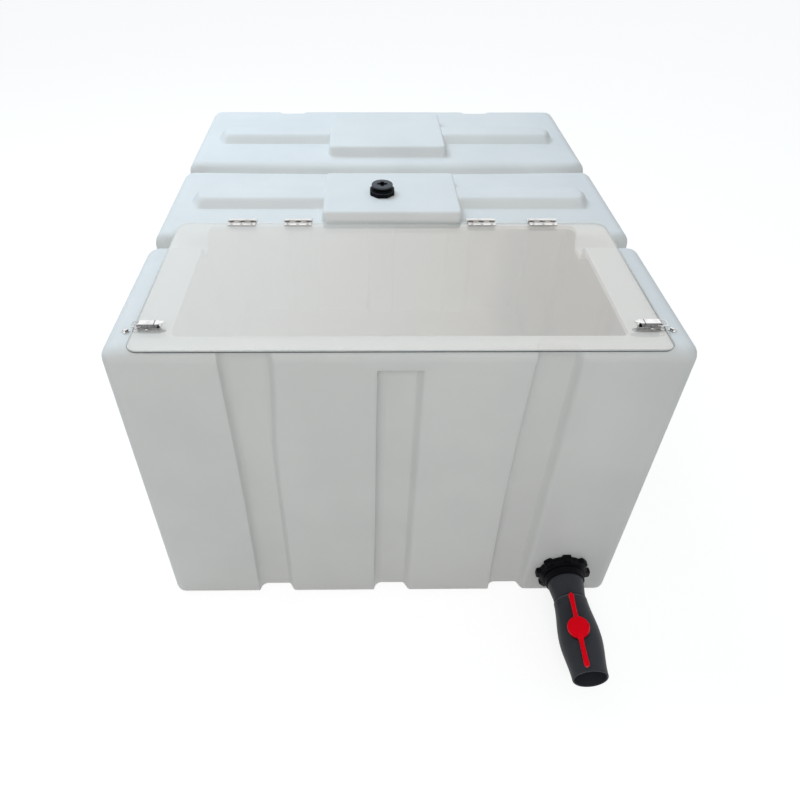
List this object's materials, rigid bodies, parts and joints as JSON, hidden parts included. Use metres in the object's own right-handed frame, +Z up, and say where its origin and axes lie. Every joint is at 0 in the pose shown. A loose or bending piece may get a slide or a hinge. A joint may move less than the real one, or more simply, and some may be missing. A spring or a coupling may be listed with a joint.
{
  "type": "live fish transport tank",
  "caption": "Thin-walled moulded tank in three sections, with a clear hinged lid held by toggle latches, a plugged vent fitting and a drain with a ball valve.",
  "frame": {"origin": "middle of the tank's flat underside, on the floor", "axes": "+Z up, front wall with the drain towards -Y, +X to the right as seen from the front"},
  "size_m": [1, 1.3974, 0.7631],
  "materials": {
    "tank_plastic": "soft satin, slightly translucent white polyethylene",
    "clear_sheet": "clear polished acrylic sheet",
    "hinge_steel": "pressed stainless sheet, half bright",
    "latch_steel": "polished stainless sheet",
    "black_plastic": "satin black polypropylene",
    "grey_plastic": "satin dark grey PVC",
    "white_plastic": "smooth white seat plastic",
    "red_plastic": "glossy red handle plastic",
    "seal_rubber": "black sealing rubber"
  },
  "bodies": {
    "tank": {"tank_shell": "tank_plastic", "hinge_1_tank_leaf": "hinge_steel", "hinge_1_pin": "hinge_steel", "hinge_2_tank_leaf": "hinge_steel", "hinge_2_pin": "hinge_steel", "hinge_3_tank_leaf": "hinge_steel", "hinge_3_pin": "hinge_steel", "hinge_4_tank_leaf": "hinge_steel", "hinge_4_pin": "hinge_steel", "latch_left_catch": "latch_steel", "latch_right_catch": "latch_steel", "drain_bulkhead": "black_plastic", "drain_gasket": "seal_rubber", "drain_locknut": "black_plastic", "drain_adapter": "grey_plastic", "valve_body": "grey_plastic", "valve_seat_inlet": "white_plastic", "valve_seat_outlet": "white_plastic", "valve_stem_seal": "seal_rubber", "vent_bulkhead": "black_plastic", "vent_gasket": "seal_rubber", "vent_locknut": "black_plastic"},
    "lid": {"lid_panel": "clear_sheet", "hinge_1_lid_leaf": "hinge_steel", "hinge_2_lid_leaf": "hinge_steel", "hinge_3_lid_leaf": "hinge_steel", "hinge_4_lid_leaf": "hinge_steel", "latch_left_base": "latch_steel", "latch_left_pin": "latch_steel", "latch_right_base": "latch_steel", "latch_right_pin": "latch_steel"},
    "latch_left_lever": {"latch_left_lever": "latch_steel"},
    "latch_left_loop": {"latch_left_loop": "latch_steel"},
    "latch_right_lever": {"latch_right_lever": "latch_steel"},
    "latch_right_loop": {"latch_right_loop": "latch_steel"},
    "valve_turn": {"valve_handle": "red_plastic", "valve_stem": "black_plastic", "valve_ball": "white_plastic"},
    "vent_plug": {"vent_plug": "black_plastic", "vent_plug_seal": "seal_rubber"}
  },
  "joints": [
    {"name": "lid_hinge", "type": "hinge", "parent": "tank", "child": "lid", "pos_m": [0, -0.1376, 0.7236], "axis": [-1, 0, 0], "range_deg": [0, 110]},
    {"name": "latch_left_lever_turn", "type": "hinge", "parent": "lid", "child": "latch_left_lever", "pos_m": [-0.44, -0.514, 0.7258], "axis": [0, -1, 0], "range_deg": [0, 120]},
    {"name": "latch_left_loop_turn", "type": "hinge", "parent": "latch_left_lever", "child": "latch_left_loop", "pos_m": [-0.4348, -0.514, 0.7254], "axis": [0, -1, 0], "range_deg": [-120, 0]},
    {"name": "latch_right_lever_turn", "type": "hinge", "parent": "lid", "child": "latch_right_lever", "pos_m": [0.44, -0.514, 0.7258], "axis": [0, 1, 0], "range_deg": [0, 120]},
    {"name": "latch_right_loop_turn", "type": "hinge", "parent": "latch_right_lever", "child": "latch_right_loop", "pos_m": [0.4348, -0.514, 0.7254], "axis": [0, 1, 0], "range_deg": [-120, 0]},
    {"name": "valve_turn", "type": "hinge", "parent": "tank", "child": "valve_turn", "pos_m": [0.384, -0.7414, 0.085], "axis": [-0.2756, 0, 0.9613], "range_deg": [0, 90]},
    {"name": "plug_lift", "type": "slide", "parent": "tank", "child": "vent_plug", "axis": [0, 0, 1], "range_m": [0, 0.045]}
  ],
  "couplings": [
    {"joint": "latch_left_loop_turn", "follows": "latch_left_lever_turn", "ratio": -1},
    {"joint": "latch_right_loop_turn", "follows": "latch_right_lever_turn", "ratio": -1}
  ]
}
